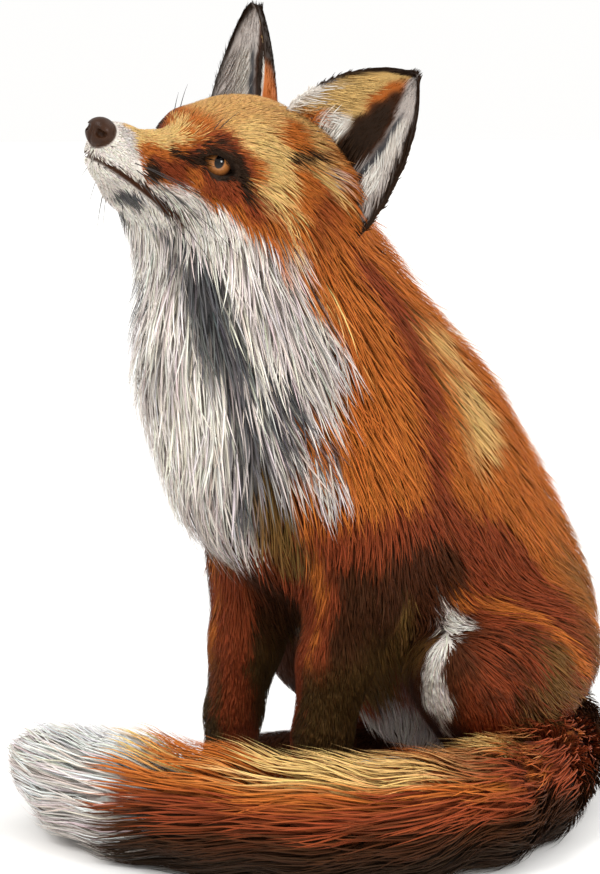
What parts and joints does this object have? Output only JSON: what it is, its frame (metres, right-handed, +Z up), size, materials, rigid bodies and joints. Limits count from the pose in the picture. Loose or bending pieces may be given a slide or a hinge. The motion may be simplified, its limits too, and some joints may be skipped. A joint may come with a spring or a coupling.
{
  "type": "sitting red fox",
  "caption": "Life-size red fox sitting upright, muzzle raised, ears pricked, with a bushy white-tipped tail laid round its feet; a still museum model.",
  "frame": {"origin": "middle of the bounding box, on the floor", "axes": "+Z up, the fox faces -Y, its left side is +X"},
  "size_m": [0.2984, 0.4136, 0.5069],
  "materials": {
    "coat_orange": "short to medium orange guard hair, matt",
    "coat_rust": "short rust-coloured hair, matt",
    "coat_pale": "long off-white hair of bib, chin and tail tip, matt",
    "coat_dark": "short brown-black hair of ears and socks, matt",
    "nose": "bare damp nose leather, fine grain",
    "eye": "wet amber eye with a dark upright pupil"
  },
  "bodies": {
    "root": {"head": "coat_rust", "lower_jaw": "coat_pale", "nose_pad": "nose", "eye_left": "eye", "eye_right": "eye", "ear_left": "coat_dark", "ear_right": "coat_dark", "neck": "coat_pale", "chest": "coat_orange", "loin": "coat_orange", "foreleg_left": "coat_dark", "foreleg_right": "coat_dark", "forepaw_left": "coat_dark", "forepaw_right": "coat_dark", "thigh_left": "coat_orange", "thigh_right": "coat_orange", "hindfoot_left": "coat_dark", "hindfoot_right": "coat_dark", "tail_1": "coat_orange", "tail_2": "coat_orange", "tail_3": "coat_orange", "tail_4": "coat_orange", "tail_5": "coat_pale"}
  },
  "joints": []
}
